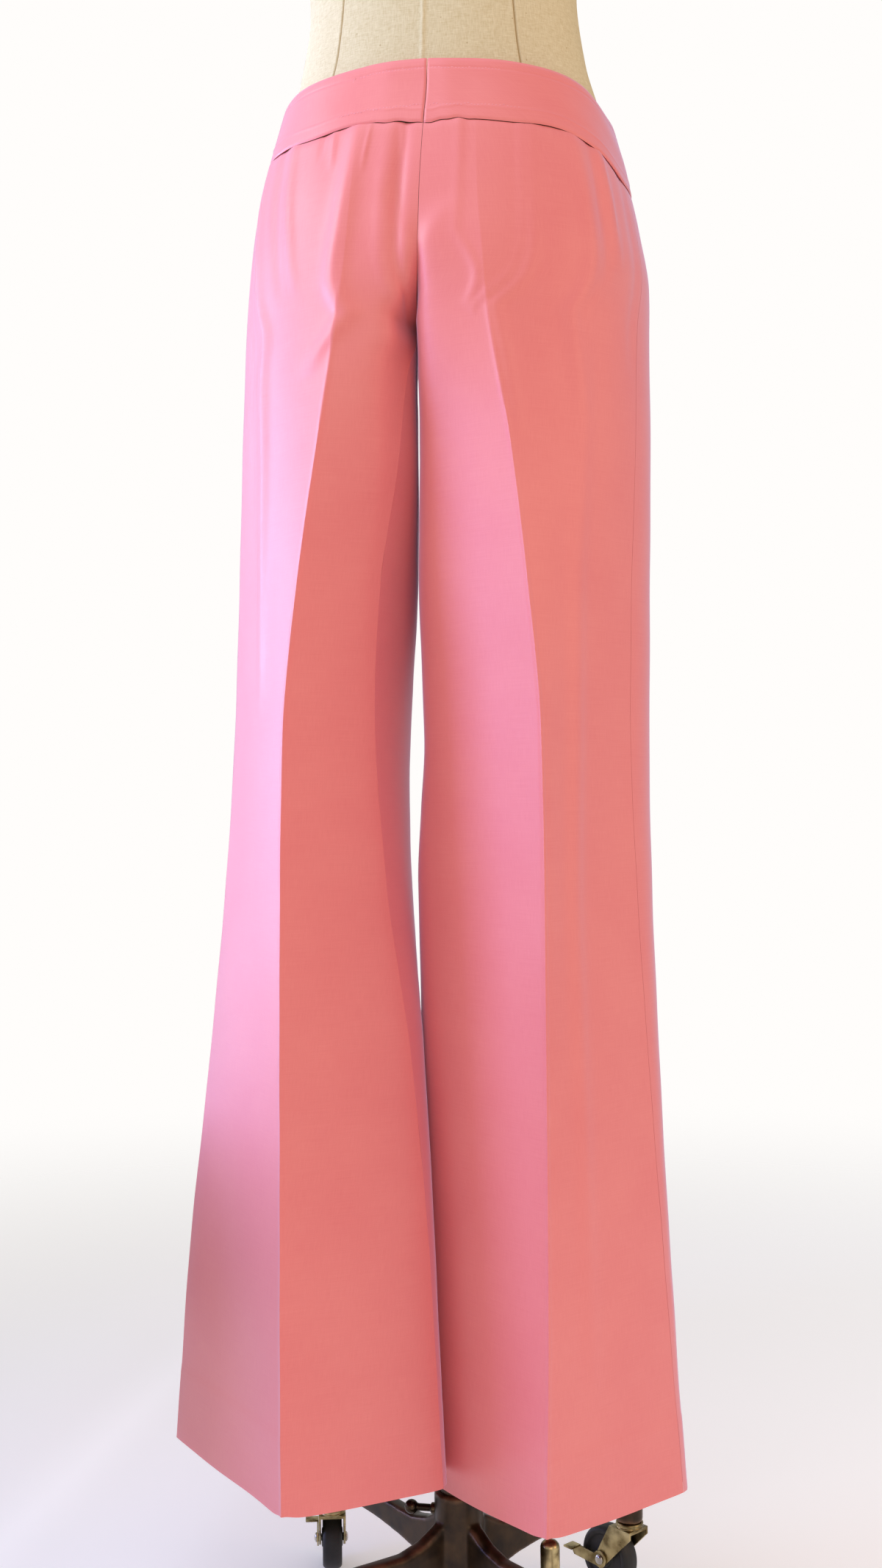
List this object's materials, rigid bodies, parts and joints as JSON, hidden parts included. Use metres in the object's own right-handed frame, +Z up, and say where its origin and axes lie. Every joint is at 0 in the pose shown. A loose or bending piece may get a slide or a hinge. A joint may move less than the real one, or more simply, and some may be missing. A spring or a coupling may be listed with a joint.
{
  "type": "flared trousers on a wheeled dress form stand",
  "caption": "Flared creased trousers with a wide waistband, hung on a limbless linen dress form that turns and lifts on a wheeled stand.",
  "frame": {"origin": "on the floor, under the middle of the whole object", "axes": "+Z up; the trousers' back faces -Y; -X is the wearer's left"},
  "size_m": [0.449, 0.3598, 1.798],
  "materials": {
    "pink_cloth": "fine plain weave with a soft sheen",
    "cream_linen": "matt linen cover",
    "bronze_paint": "dark bronze paint, worn",
    "bright_steel": "bright steel",
    "aged_brass": "aged brass plate",
    "black_rubber": "black rubber tread"
  },
  "bodies": {
    "stand": {"hub": "bronze_paint", "outer_tube": "bronze_paint", "lock_screw": "bright_steel", "pedal": "aged_brass", "base_leg_1": "bronze_paint", "base_leg_2": "bronze_paint", "base_leg_3": "bronze_paint", "base_leg_4": "bronze_paint"},
    "mast": {"inner_rod": "bright_steel"},
    "form": {"dress_form": "cream_linen", "back_panel_left": "pink_cloth", "back_panel_right": "pink_cloth", "front_panel_left": "pink_cloth", "front_panel_right": "pink_cloth", "waistband": "pink_cloth"},
    "caster_1": {"caster_1_fork": "aged_brass", "caster_1_axle": "bright_steel"},
    "wheel_1": {"caster_1_wheel": "black_rubber"},
    "lever_1": {"caster_1_lever": "aged_brass"},
    "caster_2": {"caster_2_fork": "aged_brass", "caster_2_axle": "bright_steel"},
    "wheel_2": {"caster_2_wheel": "black_rubber"},
    "lever_2": {"caster_2_lever": "aged_brass"},
    "caster_3": {"caster_3_fork": "aged_brass", "caster_3_axle": "bright_steel"},
    "wheel_3": {"caster_3_wheel": "black_rubber"},
    "lever_3": {"caster_3_lever": "aged_brass"},
    "caster_4": {"caster_4_fork": "aged_brass", "caster_4_axle": "bright_steel"},
    "wheel_4": {"caster_4_wheel": "black_rubber"},
    "lever_4": {"caster_4_lever": "aged_brass"}
  },
  "joints": [
    {"name": "mast_lift", "type": "slide", "parent": "stand", "child": "mast", "axis": [0, 0, 1], "range_m": [0, 0.15]},
    {"name": "form_turn", "type": "hinge", "parent": "mast", "child": "form", "pos_m": [0.02, 0, 1.1], "axis": [0, 0, 1], "continuous": true},
    {"name": "caster_1_swivel", "type": "hinge", "parent": "stand", "child": "caster_1", "pos_m": [0.14713, 0.1412, 0.07], "axis": [0, 0, 1], "continuous": true},
    {"name": "wheel_1_spin", "type": "hinge", "parent": "caster_1", "child": "wheel_1", "pos_m": [0.12797, 0.15564, 0.0275], "axis": [-0.6018, -0.7986, 0], "continuous": true},
    {"name": "lever_1_press", "type": "hinge", "parent": "caster_1", "child": "lever_1", "pos_m": [0.12797, 0.15564, 0.0275], "axis": [0.6018, 0.7986, 0], "range_deg": [0, 20]},
    {"name": "caster_2_swivel", "type": "hinge", "parent": "stand", "child": "caster_2", "pos_m": [-0.1212, 0.12713, 0.07], "axis": [0, 0, 1], "continuous": true},
    {"name": "wheel_2_spin", "type": "hinge", "parent": "caster_2", "child": "wheel_2", "pos_m": [-0.12741, 0.15032, 0.0275], "axis": [-0.9659, -0.2588, 0], "continuous": true},
    {"name": "lever_2_press", "type": "hinge", "parent": "caster_2", "child": "lever_2", "pos_m": [-0.12741, 0.15032, 0.0275], "axis": [0.9659, 0.2588, 0], "range_deg": [0, 20]},
    {"name": "caster_3_swivel", "type": "hinge", "parent": "stand", "child": "caster_3", "pos_m": [-0.10713, -0.1412, 0.07], "axis": [0, 0, 1], "continuous": true},
    {"name": "wheel_3_spin", "type": "hinge", "parent": "caster_3", "child": "wheel_3", "pos_m": [-0.13032, -0.14741, 0.0275], "axis": [0.2588, -0.9659, 0], "continuous": true},
    {"name": "lever_3_press", "type": "hinge", "parent": "caster_3", "child": "lever_3", "pos_m": [-0.13032, -0.14741, 0.0275], "axis": [-0.2588, 0.9659, 0], "range_deg": [0, 20]},
    {"name": "caster_4_swivel", "type": "hinge", "parent": "stand", "child": "caster_4", "pos_m": [0.1612, -0.12713, 0.07], "axis": [0, 0, 1], "continuous": true},
    {"name": "wheel_4_spin", "type": "hinge", "parent": "caster_4", "child": "wheel_4", "pos_m": [0.18438, -0.13335, 0.0275], "axis": [0.2588, 0.9659, 0], "continuous": true},
    {"name": "lever_4_press", "type": "hinge", "parent": "caster_4", "child": "lever_4", "pos_m": [0.18438, -0.13335, 0.0275], "axis": [-0.2588, -0.9659, 0], "range_deg": [0, 20]}
  ]
}
